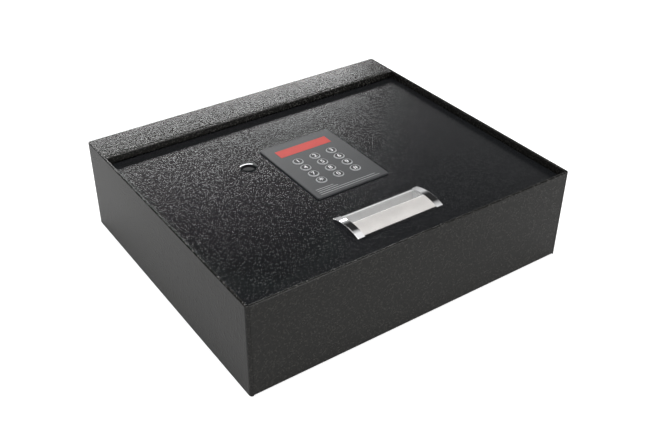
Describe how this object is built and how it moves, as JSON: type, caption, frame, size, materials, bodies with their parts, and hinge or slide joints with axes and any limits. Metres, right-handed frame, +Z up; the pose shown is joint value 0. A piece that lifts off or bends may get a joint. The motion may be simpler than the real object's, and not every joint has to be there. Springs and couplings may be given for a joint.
{
  "type": "gun safe",
  "caption": "Flat top-opening steel gun safe with a recessed hinged lid, electronic keypad, covered override lock and sunk cup-pull handle.",
  "frame": {"origin": "middle of the underside", "axes": "+X along the width, -Y towards the front where the lid lifts, +Z up"},
  "size_m": [0.4, 0.35, 0.108],
  "materials": {
    "box_paint": "fine textured powder coat",
    "lid_paint": "fine textured powder coat",
    "inner_paint": "satin",
    "zinc_steel": "zinc plated",
    "bright_steel": "turned",
    "spring_steel": "oiled",
    "bumper_rubber": "matte",
    "mat_foam": "closed cell foam",
    "fascia_plastic": "fine texture",
    "window_red": "clear red, gloss",
    "key_plastic": "satin with light printing",
    "key_silicone": "matte",
    "board_green": "solder mask",
    "display_black": "gloss",
    "plug_black": "gloss",
    "lock_zinc": "dull plated",
    "core_brass": "satin",
    "handle_chrome": "polished",
    "handle_satin": "satin",
    "guide_plastic": "smooth",
    "gear_steel": "cut",
    "gear_brass": "cut",
    "motor_can": "plated",
    "battery_plastic": "smooth",
    "cell_wrap": "gloss wrap"
  },
  "bodies": {
    "safe": {"base_tray": "box_paint", "side_panel_left": "box_paint", "side_panel_right": "box_paint", "rear_rail": "box_paint", "rear_cover": "box_paint", "strike_channel": "inner_paint", "lid_bumpers": "bumper_rubber", "floor_mat": "mat_foam", "hinge_arm_left": "inner_paint", "hinge_arm_right": "inner_paint", "hinge_rod": "bright_steel", "rod_clips": "zinc_steel", "torsion_spring_left": "spring_steel", "torsion_spring_right": "spring_steel"},
    "lid": {"lid_plate": "lid_paint", "lid_lug_left": "inner_paint", "lid_lug_right": "inner_paint", "keypad_fascia": "fascia_plastic", "display_window": "window_red", "keypad_board": "board_green", "key_mat": "key_silicone", "display_module": "display_black", "lock_housing": "lock_zinc", "lock_screws": "zinc_steel", "handle_bezel": "handle_chrome", "handle_nuts": "zinc_steel", "handle_hood": "handle_satin", "handle_cup": "handle_satin", "mechanism_cover": "inner_paint", "cover_screws": "zinc_steel", "bolt_guide_left": "guide_plastic", "bolt_guide_right": "guide_plastic", "guide_posts": "bright_steel", "gear_motor": "motor_can", "motor_bracket": "zinc_steel", "battery_holder": "battery_plastic", "battery_cells": "cell_wrap"},
    "key_1_button": {"key_1": "key_plastic"},
    "key_2_button": {"key_2": "key_plastic"},
    "key_3_button": {"key_3": "key_plastic"},
    "key_4_button": {"key_4": "key_plastic"},
    "key_5_button": {"key_5": "key_plastic"},
    "key_6_button": {"key_6": "key_plastic"},
    "key_7_button": {"key_7": "key_plastic"},
    "key_8_button": {"key_8": "key_plastic"},
    "key_9_button": {"key_9": "key_plastic"},
    "key_star_button": {"key_star": "key_plastic"},
    "key_0_button": {"key_0": "key_plastic"},
    "key_hash_button": {"key_hash": "key_plastic"},
    "plug": {"lock_plug": "plug_black"},
    "bolt_work": {"bolt_carrier": "zinc_steel", "lock_bolt_left": "bright_steel", "lock_bolt_right": "bright_steel", "drive_rack": "gear_steel"},
    "pinion": {"drive_pinion": "gear_brass", "output_shaft": "bright_steel"},
    "override": {"lock_core": "core_brass", "lock_cam": "lock_zinc"},
    "door": {"battery_door": "battery_plastic"}
  },
  "joints": [
    {"name": "lid_hinge", "type": "hinge", "parent": "safe", "child": "lid", "pos_m": [0, 0.116, 0.09], "axis": [-1, 0, 0], "range_deg": [0, 95], "stiffness_Nm_per_rad": 1, "springref_deg": 114.59, "deforming": ["torsion_spring_left", "torsion_spring_right"]},
    {"name": "key_1_press", "type": "slide", "parent": "lid", "child": "key_1_button", "axis": [0, 0, -1], "range_m": [0, 0.0006], "stiffness_N_per_m": 500},
    {"name": "key_2_press", "type": "slide", "parent": "lid", "child": "key_2_button", "axis": [0, 0, -1], "range_m": [0, 0.0006], "stiffness_N_per_m": 500},
    {"name": "key_3_press", "type": "slide", "parent": "lid", "child": "key_3_button", "axis": [0, 0, -1], "range_m": [0, 0.0006], "stiffness_N_per_m": 500},
    {"name": "key_4_press", "type": "slide", "parent": "lid", "child": "key_4_button", "axis": [0, 0, -1], "range_m": [0, 0.0006], "stiffness_N_per_m": 500},
    {"name": "key_5_press", "type": "slide", "parent": "lid", "child": "key_5_button", "axis": [0, 0, -1], "range_m": [0, 0.0006], "stiffness_N_per_m": 500},
    {"name": "key_6_press", "type": "slide", "parent": "lid", "child": "key_6_button", "axis": [0, 0, -1], "range_m": [0, 0.0006], "stiffness_N_per_m": 500},
    {"name": "key_7_press", "type": "slide", "parent": "lid", "child": "key_7_button", "axis": [0, 0, -1], "range_m": [0, 0.0006], "stiffness_N_per_m": 500},
    {"name": "key_8_press", "type": "slide", "parent": "lid", "child": "key_8_button", "axis": [0, 0, -1], "range_m": [0, 0.0006], "stiffness_N_per_m": 500},
    {"name": "key_9_press", "type": "slide", "parent": "lid", "child": "key_9_button", "axis": [0, 0, -1], "range_m": [0, 0.0006], "stiffness_N_per_m": 500},
    {"name": "key_star_press", "type": "slide", "parent": "lid", "child": "key_star_button", "axis": [0, 0, -1], "range_m": [0, 0.0006], "stiffness_N_per_m": 500},
    {"name": "key_0_press", "type": "slide", "parent": "lid", "child": "key_0_button", "axis": [0, 0, -1], "range_m": [0, 0.0006], "stiffness_N_per_m": 500},
    {"name": "key_hash_press", "type": "slide", "parent": "lid", "child": "key_hash_button", "axis": [0, 0, -1], "range_m": [0, 0.0006], "stiffness_N_per_m": 500},
    {"name": "plug_pull", "type": "slide", "parent": "lid", "child": "plug", "axis": [0, 0, 1], "range_m": [0, 0.018]},
    {"name": "bolt_slide", "type": "slide", "parent": "lid", "child": "bolt_work", "axis": [0, -1, 0], "range_m": [0, 0.012]},
    {"name": "pinion_turn", "type": "hinge", "parent": "lid", "child": "pinion", "pos_m": [0.014, -0.066, 0.08195], "axis": [-1, 0, 0], "range_deg": [0, 115]},
    {"name": "core_turn", "type": "hinge", "parent": "lid", "child": "override", "pos_m": [-0.072, 0.0375, 0.085], "axis": [0, 0, -1], "range_deg": [0, 90]},
    {"name": "door_slide", "type": "slide", "parent": "lid", "child": "door", "axis": [1, 0, 0], "range_m": [0, 0.06]}
  ],
  "couplings": [
    {"joint": "pinion_turn", "follows": "bolt_slide", "rad_per_m": 166.67},
    {"joint": "core_turn", "follows": "bolt_slide", "rad_per_m": 130.9}
  ]
}
